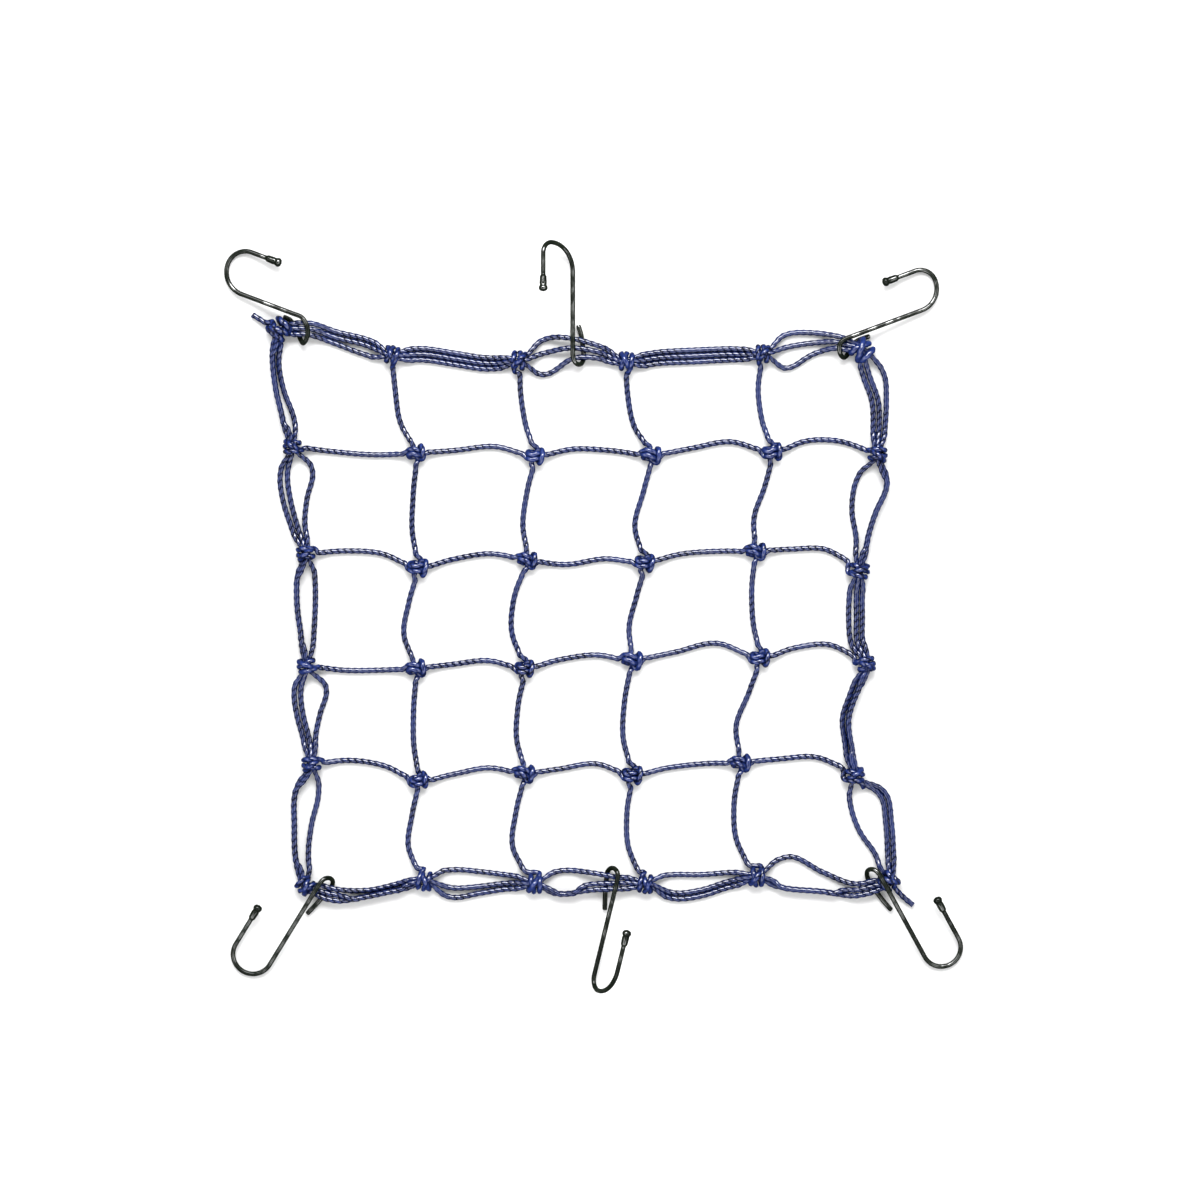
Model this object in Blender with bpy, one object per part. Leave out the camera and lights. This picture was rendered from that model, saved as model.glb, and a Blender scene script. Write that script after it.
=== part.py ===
"""Luggage net of knotted elastic cord with six wire hooks, laid flat on the floor.

+X points to the right of the net, +Y to its top edge, +Z up. The origin is on the floor under the
middle of the whole outline, hooks included.
"""
import math
from collections import namedtuple

import bmesh
import bpy
from mathutils import Vector

MM = 0.001

# Cord, wire and grid
CORD_RADIUS = 1.4 * MM
WIRE_RADIUS = 1.25 * MM
COLUMN_PITCH = 60.0 * MM
ROW_PITCH = 55.5 * MM
LINES = 6                            # knots along each side
NET_CENTRE = Vector((-4.9, 1.8)) * MM        # middle of the even grid of knots
STRAND_STEP = 2.95 * MM              # from centre line to centre line of border strands side by side

# How cords are cut into flat faces
SIDES = 6
MESH_RINGS = 3                       # rings between two knots of a mesh line
HOOKED_RINGS = 5                     # rings between two knots of a border strand with hooks on it
SIDE_RINGS = 4                       # and of one without hooks
CORD_REST = CORD_RADIUS * math.cos(math.pi / SIDES)      # height of a strand that lies on a flat face

# Knots: two turns side by side with a groove between them
KNOT_HALF_HEIGHT = 3.5 * MM
KNOT_HALF_WIDTH = 4.4 * MM
BORDER_KNOT_HALF_WIDTH = 5.4 * MM
TURN_OFFSET = 2.3 * MM               # from the knot's middle to the crest of a turn
NECK_OFFSET = 5.2 * MM               # from the knot's middle to where the plain cord begins
GROOVE_SHARE = 0.85                  # size at the groove, as a share of the crest
NECK_SHARE = 1.15                    # size at the neck, as a share of the cord
KNOT_RISE = KNOT_HALF_HEIGHT * math.cos(math.pi / SIDES) - CORD_REST
KNOT_LEVEL = 4.0 * MM                # a strand keeps the knot's height this far from its middle
KNOT_SLOPE_END = 15.0 * MM           # and lies on the floor from here on

# Room for a wire under the strands at each hook's eye
EYE_LIFT = 2 * WIRE_RADIUS + 0.4 * MM
EYE_LEVEL = 9.0 * MM
EYE_SLOPE_END = 21.0 * MM

# Each knot's place off the even grid: (right, up) in mm, a row of the net to a line, columns 0 to 5
KNOT_DRIFT = (
    ((-10.0, 10.0), (-11.0, -3.0), (-4.0, -6.0), (-8.0, -6.5), (4.0, -2.5), (-4.5, -0.5)),
    ((-3.0, 4.5), (1.5, 1.0), (4.0, -0.5), (5.0, 0.0), (8.5, 1.5), (4.0, 0.0)),
    ((4.0, 3.5), (2.5, -3.5), (0.0, 0.5), (1.5, -1.0), (0.0, 5.0), (-5.5, -5.0)),
    ((4.5, 0.5), (1.5, -1.0), (-1.5, -1.0), (-5.0, 3.5), (2.0, 4.5), (-2.0, 1.0)),
    ((7.0, 4.0), (3.0, -4.5), (-1.5, -0.5), (-5.0, -1.5), (-8.0, 5.0), (-8.0, -1.5)),
    ((4.0, -4.0), (6.5, -1.5), (4.0, -3.0), (2.5, -3.0), (0.5, 0.5), (10.0, -1.5)),
)

# Mesh lines: each span's bow off its straight line at 1/3 and 2/3, in mm
ROW_BOWS = (        # upwards; rows 1 to 4, spans from left to right
    ((-1.5, -2.0), (2.0, 4.5), (3.5, 2.5), (3.0, 6.0), (6.5, 6.5)),
    ((4.0, 5.0), (3.0, 4.5), (-2.0, 1.5), (2.5, 2.0), (4.5, 7.5)),
    ((-2.0, -1.5), (2.0, 4.0), (3.0, 4.0), (3.5, 8.0), (6.5, 9.0)),
    ((5.0, 5.0), (2.0, 4.0), (2.5, 5.5), (1.5, 1.5), (4.0, 7.0)),
)
COLUMN_BOWS = (     # to the right; columns 1 to 4, spans from the top down
    ((-2.5, -4.0), (-1.5, -2.5), (-4.0, -6.5), (-1.5, -2.0), (-4.5, -7.5)),
    ((-2.0, -2.0), (-2.5, -3.5), (-6.0, -7.0), (-3.0, -4.0), (-6.0, -9.5)),
    ((-3.5, -4.5), (-2.5, -6.0), (-1.5, -3.5), (-3.5, -4.5), (-5.0, -6.5)),
    ((-4.0, -3.5), (-0.5, -3.5), (-2.5, -2.5), (-2.0, -5.5), (-6.0, -7.5)),
)

# Border: the bows of its three strands at 1/4, 1/2 and 3/4 of a span, outwards in mm, and the stretch
# of the span, if any, over which the middle strand rides on top of the outer one
Span = namedtuple("Span", "outer middle inner ride")
BORDER = {
    "top": (        # from left to right
        Span((7.0, 5.7, 5.4), (4.0, 2.6, 2.3), (0.9, -0.5, -2.6), None),
        Span((4.2, 2.5, 0.9), (1.2, -0.5, -2.1), (-1.8, -3.5, -5.1), None),
        Span((11.7, 11.7, 7.9), (4.4, 6.8, 4.7), (-7.0, 1.2, 1.4), None),
        Span((4.2, 4.2, 3.9), (1.2, 1.1, 0.9), (-1.8, -2.0, -2.1), None),
        Span((9.9, 10.3, 7.9), (3.2, 4.8, 4.7), (-7.7, -1.3, 1.5), None),
    ),
    "bottom": (
        Span((8.6, 7.2, 4.6), (5.6, 4.2, 1.6), (2.5, 4.0, 1.4), (0.27, 0.92)),
        Span((8.5, 6.0, 3.4), (3.5, 2.4, 0.3), (-6.0, -5.4, -4.0), None),
        Span((5.5, 3.4, 2.8), (2.5, 0.4, -0.2), (-6.7, -5.8, -3.4), (0.08, 0.48)),
        Span((9.0, 8.3, 4.7), (5.9, 5.2, 1.6), (-3.7, -2.8, -3.0), None),
        Span((5.8, 6.7, 8.4), (2.8, 3.7, 5.4), (-11.0, -3.4, 2.2), (0.08, 0.70)),
    ),
    "left": (       # from the top down
        Span((5.3, 5.3, 3.6), (2.3, 2.3, 0.6), (2.1, 1.5, -2.2), (0.08, 0.92)),
        Span((8.5, 8.5, 5.8), (4.6, 4.6, 2.6), (-8.7, -3.9, -1.2), None),
        Span((4.9, 4.7, 2.9), (1.9, 1.7, -0.1), (-4.6, -4.5, -3.6), (0.08, 0.92)),
        Span((7.4, 6.6, 3.8), (3.9, 3.3, 0.7), (-9.5, -5.5, -2.5), None),
        Span((8.0, 7.6, 6.4), (5.0, 4.6, 3.4), (-4.2, -1.3, -0.4), (0.08, 0.92)),
    ),
    "right": (
        Span((10.0, 9.2, 6.4), (2.4, 4.9, 3.2), (-0.9, 1.6, 0.0), None),
        Span((7.4, 3.7, 1.8), (4.4, 0.7, -1.2), (-8.8, -8.6, -3.9), (0.08, 0.92)),
        Span((0.9, 0.0, -0.6), (-2.2, -3.1, -3.7), (-5.9, -7.2, -7.0), None),
        Span((-2.9, -6.0, -3.0), (-5.9, -9.0, -6.0), (-6.1, -9.2, -6.2), (0.08, 0.92)),
        Span((12.7, 11.0, 7.4), (9.6, 7.9, 4.2), (-6.8, -6.5, -2.3), None),
    ),
}

# Cut ends of the border cord: the knot's row and column, and (right, up) steps of the tail in mm
TAILS = (
    (0, 0, ((-2.0, 1.0), (-7.0, 4.0), (-13.5, 8.0))),
    (5, 5, ((2.0, -2.5), (6.5, -7.5), (12.5, -12.5))),
)
TAIL_REST = 15.0 * MM

# Hooks: bent wire with an eye, a shank, a J bend and a capped tip
WIRE_SIDES = 6
BEND_STEPS = 8
EYE_STEPS = 2                        # rings between two points of an eye's route
CAP_PROFILE = (                      # (from the tip's end, radius) in mm
    (8.5, 1.25), (8.0, 1.75), (4.4, 1.85), (3.6, 1.6), (3.0, 1.95), (2.0, 2.2), (0.9, 1.8), (0.2, 0.8),
)
Hook = namedtuple("Hook", "name x y heading side reach radius lean tip roll eye")
# Eye's corner (right, up) from the grid's middle in mm; the shank's heading in degrees; 1 where the
# tip is on the left of that heading, -1 on the right; from the eye's corner to the far side of the
# bend, the bend's mean radius, how much wider it is beside the shank than beside the tip, and the
# length of the tip's leg in mm; the bend's roll out of the floor in degrees; form of the eye
HOOKS = (
    Hook("hook_top_left", -147.8, 155.4, 159.0, -1, 46.9, 11.2, 1.5, 15.5, 0.0, "wide"),
    Hook("hook_top_middle", -5.9, 138.3, 90.0, 1, 55.9, 10.3, 4.5, 16.0, 42.0, "short"),
    Hook("hook_top_right", 135.4, 143.4, 20.7, 1, 57.2, 10.3, 2.0, 16.5, 0.0, "round"),
    Hook("hook_bottom_left", -139.0, -142.3, 238.2, -1, 60.0, 10.4, 0.0, 24.2, 0.0, "narrow"),
    Hook("hook_bottom_middle", 17.3, -140.2, 256.5, 1, 58.0, 10.3, -3.0, 25.5, 58.0, "narrow"),
    Hook("hook_bottom_right", 156.1, -139.1, 299.0, 1, 57.2, 10.1, 0.0, 25.0, 0.0, "open"),
)
# Route of the wire round the strands, from the cut stub to the shank: along the shank's heading,
# towards the side away from the tip, and height, in mm
EYES = {
    "narrow": (
        (16.5, 2.6, 1.25), (9.0, 4.2, 1.25), (1.5, 5.4, 1.25), (-2.8, 5.9, 1.4), (-5.4, 4.9, 3.2),
        (-6.0, 2.9, 5.8), (-4.7, 1.0, 7.9), (-2.0, 0.1, 8.6), (2.5, 0.0, 8.6), (9.0, 0.0, 8.4),
    ),
    "short": (
        (13.0, 2.9, 1.25), (8.0, 4.4, 1.25), (1.0, 5.4, 1.25), (-4.0, 5.7, 1.4), (-7.0, 4.6, 3.0),
        (-7.6, 2.8, 5.0), (-6.2, 1.0, 6.7), (-3.0, 0.1, 7.2), (2.0, 0.0, 7.2), (9.0, 0.0, 7.2),
    ),
    "open": (
        (17.2, 3.4, 1.25), (11.8, 4.6, 1.25), (6.0, 5.5, 1.25), (0.0, 6.0, 1.25), (-4.0, 6.0, 1.4),
        (-6.8, 4.7, 3.2), (-7.3, 2.8, 5.8), (-6.0, 1.0, 7.9), (-3.0, 0.1, 8.6), (2.0, 0.0, 8.6),
        (9.0, 0.0, 8.4),
    ),
    "round": (
        (14.5, 3.0, 1.25), (9.5, 2.8, 1.25), (6.0, 3.4, 1.25), (2.9, 5.3, 1.25), (0.2, 7.9, 1.45),
        (-2.0, 8.9, 3.2), (-3.3, 7.6, 5.6), (-3.5, 5.2, 7.2), (-2.6, 2.5, 7.2), (-0.4, 0.5, 7.2),
        (2.6, 0.0, 7.2), (6.0, 0.0, 7.2),
    ),
    "wide": (
        (9.5, 3.1, 1.25), (6.1, 3.4, 1.25), (3.1, 5.1, 1.25), (-0.4, 8.3, 1.25), (-3.2, 11.2, 1.7),
        (-5.2, 12.5, 4.2), (-6.2, 10.8, 6.8), (-5.9, 6.7, 7.2), (-3.8, 3.0, 7.2), (0.0, 0.2, 7.2),
        (5.0, 0.0, 7.2),
    ),
}

UP = Vector((0, 0, 1))


def clear_scene():
    for item in list(bpy.data.objects):
        bpy.data.objects.remove(item)


def material(name, colour, roughness, metallic):
    made = bpy.data.materials.new(name)
    made.use_nodes = True
    shader = made.node_tree.nodes["Principled BSDF"]
    shader.inputs["Base Color"].default_value = (*colour, 1)
    shader.inputs["Roughness"].default_value = roughness
    shader.inputs["Metallic"].default_value = metallic
    return made


def fade(distance, full, none):
    """1 as far as full, 0 from none on, and a smooth slope between."""
    share = min(max((none - distance) / (none - full), 0), 1)
    return share * share * (3 - 2 * share)


def spline(points, place):
    """Smooth curve through the points; place counts them, and runs on straight past both ends."""
    last = len(points) - 1
    if place < 0:
        return points[0] + (points[1] - points[0]) * place
    if place > last:
        return points[last] + (points[last] - points[last - 1]) * (place - last)
    index = min(int(place), last - 1)
    t = place - index
    before, start = points[max(index - 1, 0)], points[index]
    end, after = points[index + 1], points[min(index + 2, last)]
    return (start * 2 + (end - before) * t
            + (before * 2 - start * 5 + end * 4 - after) * t ** 2
            + (start * 3 - before - end * 3 + after) * t ** 3) / 2


def knot_place(row, column):
    right, up = KNOT_DRIFT[row][column]
    middle = (LINES - 1) / 2
    return NET_CENTRE + Vector(((column - middle) * COLUMN_PITCH + right * MM,
                                (middle - row) * ROW_PITCH + up * MM))


def across(start, end, outward):
    """Unit vector square to start-end in the plane of the net, on the side of outward."""
    along = (end - start).normalized()
    normal = Vector((-along.y, along.x))
    return normal if normal.dot(outward) > 0 else -normal


def eye_middle(hook):
    """Middle of the stretch of an eye's route that lies under the strands."""
    under = [point for point in EYES[hook.eye] if point[2] < 2]
    frame = hook_frame(hook)
    return sum((frame(*point).xy for point in under), Vector((0, 0))) / len(under)


def hook_frame(hook):
    """Function from (along, aside, height) in mm at a hook to a place in the part."""
    corner = NET_CENTRE + Vector((hook.x, hook.y)) * MM
    angle = math.radians(hook.heading)
    along = Vector((math.cos(angle), math.sin(angle)))
    aside = Vector((along.y, -along.x)) * hook.side

    def place(forward, sideways, height):
        flat = corner + (along * forward + aside * sideways) * MM
        return Vector((flat.x, flat.y, height * MM))
    return place


def strand_height(flat, knots, eyes):
    """Height of a strand's centre line: up at its knots and at the hooks' eyes, else on the floor."""
    to_knot = min((flat - knot).length for knot in knots)
    to_eye = min((flat - eye).length for eye in eyes)
    rise = max(KNOT_RISE * fade(to_knot, KNOT_LEVEL, KNOT_SLOPE_END),
               EYE_LIFT * fade(to_eye, EYE_LEVEL, EYE_SLOPE_END))
    return CORD_REST + rise


def strand_route(knots, bows, port, outward, eyes):
    """Function from a place along a line of knots (0 at the first, 1 at the second) to a point."""
    points = []
    for index, knot in enumerate(knots):
        before, after = knots[max(index - 1, 0)], knots[min(index + 1, len(knots) - 1)]
        points.append(knot + across(before, after, outward) * port)
        if index == len(knots) - 1:
            break
        for step, bow in enumerate(bows[index], 1):
            share = step / (len(bows[index]) + 1)
            points.append(knot.lerp(after, share) + across(knot, after, outward) * bow * MM)
    stations = len(bows[0]) + 1

    def route(place):
        flat = spline(points, place * stations)
        return Vector((flat.x, flat.y, strand_height(flat, knots, eyes)))
    return route


def riding_route(outer, beside, spans):
    """The middle strand's route: beside the outer strand, and turned up on top of it where it rides."""
    def route(place):
        under, flat = outer(place), beside(place)
        span = min(max(int(place), 0), len(spans) - 1)
        if spans[span].ride is None:
            return flat
        start, end = spans[span].ride
        middle, half = (start + end) / 2, (end - start) / 2
        turn = math.pi / 2 * fade(abs(place - span - middle), half - 0.12, half)
        step = (flat - under).xy.to_3d()
        return flat.lerp(under + step * math.cos(turn) + UP * step.length * math.sin(turn),
                         1 if turn else 0)
    return route


def add_tube(mesh, centres, sizes, sides, level):
    """Adds a closed tube to the mesh: a ring of corners round each centre, (half width, half height)
    in sizes. A level tube keeps a flat side down; another turns with its route."""
    rings = []
    side = None
    for index, centre in enumerate(centres):
        before, after = centres[max(index - 1, 0)], centres[min(index + 1, len(centres) - 1)]
        along = (after - before).normalized()
        if level or side is None:
            side = along.cross(UP).normalized()
        else:
            side = (side - along * side.dot(along)).normalized()
        above = side.cross(along)
        half_width, half_height = sizes[index]
        ring = []
        for corner in range(sides):
            angle = (corner + 0.5) * math.tau / sides - math.pi / 2
            ring.append(mesh.verts.new(centre + side * half_width * math.cos(angle)
                                       + above * half_height * math.sin(angle)))
        rings.append(ring)
    for ring, following in zip(rings, rings[1:]):
        for corner in range(sides):
            other = (corner + 1) % sides
            mesh.faces.new((ring[corner], ring[other], following[other], following[corner]))
    mesh.faces.new(rings[0][::-1])
    mesh.faces.new(rings[-1])


def line_rings(knots, rings_between, knotted, half_width):
    """Places along a line of knots with the half width and half height of the cord there."""
    plain = (CORD_RADIUS, CORD_RADIUS)
    neck = (CORD_RADIUS * NECK_SHARE, CORD_RADIUS * NECK_SHARE)
    crest = (half_width, KNOT_HALF_HEIGHT)
    groove = (half_width * GROOVE_SHARE, KNOT_HALF_HEIGHT * GROOVE_SHARE)
    profile = ((-NECK_OFFSET, neck), (-TURN_OFFSET, crest), (0, groove), (TURN_OFFSET, crest),
               (NECK_OFFSET, neck))
    rings = []
    for index in range(len(knots)):
        if index in knotted:
            for offset, size in profile:
                spans = max(index - 1, 0) if offset < 0 else min(index, len(knots) - 2)
                length = (knots[spans + 1] - knots[spans]).length
                rings.append((index + offset / length, size))
        else:
            rings.append((index, plain))
        if index < len(knots) - 1:
            length = (knots[index + 1] - knots[index]).length
            start = NECK_OFFSET / length
            for step in range(1, rings_between + 1):
                share = start + (1 - 2 * start) * step / (rings_between + 1)
                rings.append((index + share, plain))
    return rings


def add_line(mesh, route, rings):
    add_tube(mesh, [route(place) for place, size in rings], [size for place, size in rings],
             SIDES, level=True)


def mesh_object(name, mesh, made_of):
    data = bpy.data.meshes.new(name)
    bmesh.ops.recalc_face_normals(mesh, faces=mesh.faces)
    mesh.to_mesh(data)
    mesh.free()
    data.materials.append(made_of)
    data.shade_smooth()
    data.set_sharp_from_angle(angle=math.radians(50))
    item = bpy.data.objects.new(name, data)
    bpy.context.scene.collection.objects.link(item)
    return item


def side_knots(side):
    """The knots of one side of the net, in the order of its spans, and the way out of the net."""
    last = LINES - 1
    places = {
        "top": ([(0, column) for column in range(LINES)], (0, 1)),
        "bottom": ([(last, column) for column in range(LINES)], (0, -1)),
        "left": ([(row, 0) for row in range(LINES)], (-1, 0)),
        "right": ([(row, last) for row in range(LINES)], (1, 0)),
    }
    cells, outward = places[side]
    return [knot_place(row, column) for row, column in cells], Vector(outward)


def add_border_side(middle_mesh, outside_mesh, side, knotted, eyes):
    """Middle strand with its knots in one mesh, the outer and inner strands in another."""
    knots, outward = side_knots(side)
    spans = BORDER[side]
    outer = strand_route(knots, [span.outer for span in spans], STRAND_STEP, outward, eyes)
    inner = strand_route(knots, [span.inner for span in spans], -STRAND_STEP, outward, eyes)
    beside = strand_route(knots, [span.middle for span in spans], 0, outward, eyes)
    middle = riding_route(outer, beside, spans)
    between = HOOKED_RINGS if side in ("top", "bottom") else SIDE_RINGS
    plain_rings = line_rings(knots, between, (), 0)
    add_line(outside_mesh, outer, plain_rings)
    add_line(outside_mesh, inner, plain_rings)
    add_line(middle_mesh, middle, line_rings(knots, between, knotted, BORDER_KNOT_HALF_WIDTH))


def add_tail(mesh, row, column, steps):
    knot = knot_place(row, column)
    centres = []
    for right, up in steps:
        flat = knot + Vector((right, up)) * MM
        rise = KNOT_RISE * fade((flat - knot).length, KNOT_LEVEL, TAIL_REST)
        centres.append(Vector((flat.x, flat.y, CORD_REST + rise)))
    add_tube(mesh, centres, [(CORD_RADIUS, CORD_RADIUS)] * len(centres), SIDES, level=True)


def build_net(cord):
    """Four groups of cords whose members stay apart, joined by Boolean unions at the knots."""
    eyes = [eye_middle(hook) for hook in HOOKS]
    inside = range(1, LINES - 1)
    rows, columns = bmesh.new(), bmesh.new()
    across_strands, down_strands = bmesh.new(), bmesh.new()
    for index, row in enumerate(inside):
        knots = [knot_place(row, column) for column in range(LINES)]
        route = strand_route(knots, ROW_BOWS[index], 0, Vector((0, 1)), eyes)
        add_line(rows, route, line_rings(knots, MESH_RINGS, inside, KNOT_HALF_WIDTH))
    for index, column in enumerate(inside):
        knots = [knot_place(row, column) for row in range(LINES)]
        route = strand_route(knots, COLUMN_BOWS[index], 0, Vector((1, 0)), eyes)
        add_line(columns, route, line_rings(knots, MESH_RINGS, (), 0))
    for side in ("top", "bottom"):
        add_border_side(rows, across_strands, side, range(LINES), eyes)
    for side in ("left", "right"):
        add_border_side(columns, down_strands, side, inside, eyes)
    for row, column, steps in TAILS:
        add_tail(across_strands, row, column, steps)

    net = mesh_object("cord_net", rows, cord)
    for name, group in (("cords_down", columns), ("border_across", across_strands),
                        ("border_down", down_strands)):
        guide = mesh_object(name, group, cord)
        guide.hide_render = True
        guide.display_type = "WIRE"
        union = net.modifiers.new(name, "BOOLEAN")
        union.operation = "UNION"
        union.object = guide
    return net


def hook_route(hook):
    """Centre points of a hook's wire, from the cut stub through the eye and the bend to the tip."""
    frame = hook_frame(hook)
    route = [Vector(point) for point in EYES[hook.eye]]
    count = (len(route) - 1) * EYE_STEPS
    points = [spline(route, step / EYE_STEPS) for step in range(count + 1)]

    shank_start, radius = route[-1].x, hook.radius
    floor = WIRE_RADIUS / MM
    slope = (route[-1].z - floor) / (hook.reach - shank_start)
    roll = math.radians(hook.roll)
    bend = []
    for step in range(BEND_STEPS + 1):
        turn = step * math.pi / BEND_STEPS
        here = radius + hook.lean if turn < math.pi / 2 else radius - hook.lean
        bend.append((hook.reach - here + here * math.sin(turn), radius + hook.lean - here * math.cos(turn)))
    leg_end = hook.reach - radius - hook.tip
    leg = [(leg_end + from_end, 2 * radius) for from_end, size in CAP_PROFILE]
    for forward, sideways in bend + leg:
        height = floor + slope * (hook.reach - forward) + sideways * math.sin(roll)
        points.append(Vector((forward, -sideways * math.cos(roll), height)))
    return [frame(*point) for point in points]


def build_hook(hook, metal):
    centres = hook_route(hook)
    sizes = [WIRE_RADIUS] * (len(centres) - len(CAP_PROFILE)) + [size * MM for _, size in CAP_PROFILE]
    mesh = bmesh.new()
    add_tube(mesh, centres, [(size, size) for size in sizes], WIRE_SIDES, level=False)
    lowest = min(corner.co.z for corner in mesh.verts)
    bmesh.ops.translate(mesh, verts=mesh.verts, vec=(0, 0, -lowest))      # the wire lies on the floor
    return mesh_object(hook.name, mesh, metal)


def main():
    clear_scene()
    cord = material("elastic_cord", (0.045, 0.055, 0.26), 0.75, 0.0)
    metal = material("dark_wire", (0.30, 0.31, 0.29), 0.28, 1.0)
    build_net(cord)
    for hook in HOOKS:
        build_hook(hook, metal)


main()
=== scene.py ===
import math
import random
from collections import namedtuple
from functools import partial

import bpy
from mathutils import Matrix, Vector


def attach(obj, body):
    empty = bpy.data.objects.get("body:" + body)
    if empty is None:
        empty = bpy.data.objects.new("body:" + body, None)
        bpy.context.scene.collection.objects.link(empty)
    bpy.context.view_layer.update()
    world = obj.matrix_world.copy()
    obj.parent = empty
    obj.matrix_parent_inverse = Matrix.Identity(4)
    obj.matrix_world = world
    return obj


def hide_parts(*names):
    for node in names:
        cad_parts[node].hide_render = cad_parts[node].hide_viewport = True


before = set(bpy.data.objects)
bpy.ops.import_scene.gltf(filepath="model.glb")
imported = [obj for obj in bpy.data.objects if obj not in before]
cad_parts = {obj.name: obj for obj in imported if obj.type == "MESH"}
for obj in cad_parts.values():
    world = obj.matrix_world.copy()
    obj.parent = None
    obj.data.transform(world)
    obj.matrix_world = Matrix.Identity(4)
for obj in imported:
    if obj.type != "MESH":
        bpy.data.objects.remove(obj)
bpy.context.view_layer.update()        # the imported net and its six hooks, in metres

mm = 0.001
print("stage: frame loaded")

net = {
    "columnPitch": 60.0,
    "rowPitch": 55.5,
    "lines": 6,              # knots along each side
    "middle": (-4.9, 1.8),   # middle of the even grid of knots
    "cordRadius": 1.4,
    "strandStep": 2.95,      # between border strands side by side
    "knotRise": 1.82,        # a cord's centre line goes up by this in a knot
    "knotLevel": 4.0,
    "knotSlopeEnd": 15.0,
    "eyeLift": 2.9,          # room for a wire under the strands
    "eyeLevel": 9.0,
    "eyeSlopeEnd": 21.0,
    "fewestSteps": 4,        # of a route between two knots
}
lastLine = net["lines"] - 1

# Each knot's place off the even grid: (right, up) in mm, a row of the net to a line
knotDrift = (
    ((-10.0, 10.0), (-11.0, -3.0), (-4.0, -6.0), (-8.0, -6.5), (4.0, -2.5), (-4.5, -0.5)),
    ((-3.0, 4.5), (1.5, 1.0), (4.0, -0.5), (5.0, 0.0), (8.5, 1.5), (4.0, 0.0)),
    ((4.0, 3.5), (2.5, -3.5), (0.0, 0.5), (1.5, -1.0), (0.0, 5.0), (-5.5, -5.0)),
    ((4.5, 0.5), (1.5, -1.0), (-1.5, -1.0), (-5.0, 3.5), (2.0, 4.5), (-2.0, 1.0)),
    ((7.0, 4.0), (3.0, -4.5), (-1.5, -0.5), (-5.0, -1.5), (-8.0, 5.0), (-8.0, -1.5)),
    ((4.0, -4.0), (6.5, -1.5), (4.0, -3.0), (2.5, -3.0), (0.5, 0.5), (10.0, -1.5)),
)

# Bow of each mesh cord between two knots, at 1/3 and 2/3 of the way, in mm
rowBows = (          # upwards; rows 1 to 4, from left to right
    ((-1.5, -2.0), (2.0, 4.5), (3.5, 2.5), (3.0, 6.0), (6.5, 6.5)),
    ((4.0, 5.0), (3.0, 4.5), (-2.0, 1.5), (2.5, 2.0), (4.5, 7.5)),
    ((-2.0, -1.5), (2.0, 4.0), (3.0, 4.0), (3.5, 8.0), (6.5, 9.0)),
    ((5.0, 5.0), (2.0, 4.0), (2.5, 5.5), (1.5, 1.5), (4.0, 7.0)),
)
columnBows = (       # to the right; columns 1 to 4, from the top down
    ((-2.5, -4.0), (-1.5, -2.5), (-4.0, -6.5), (-1.5, -2.0), (-4.5, -7.5)),
    ((-2.0, -2.0), (-2.5, -3.5), (-6.0, -7.0), (-3.0, -4.0), (-6.0, -9.5)),
    ((-3.5, -4.5), (-2.5, -6.0), (-1.5, -3.5), (-3.5, -4.5), (-5.0, -6.5)),
    ((-4.0, -3.5), (-0.5, -3.5), (-2.5, -2.5), (-2.0, -5.5), (-6.0, -7.5)),
)

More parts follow.
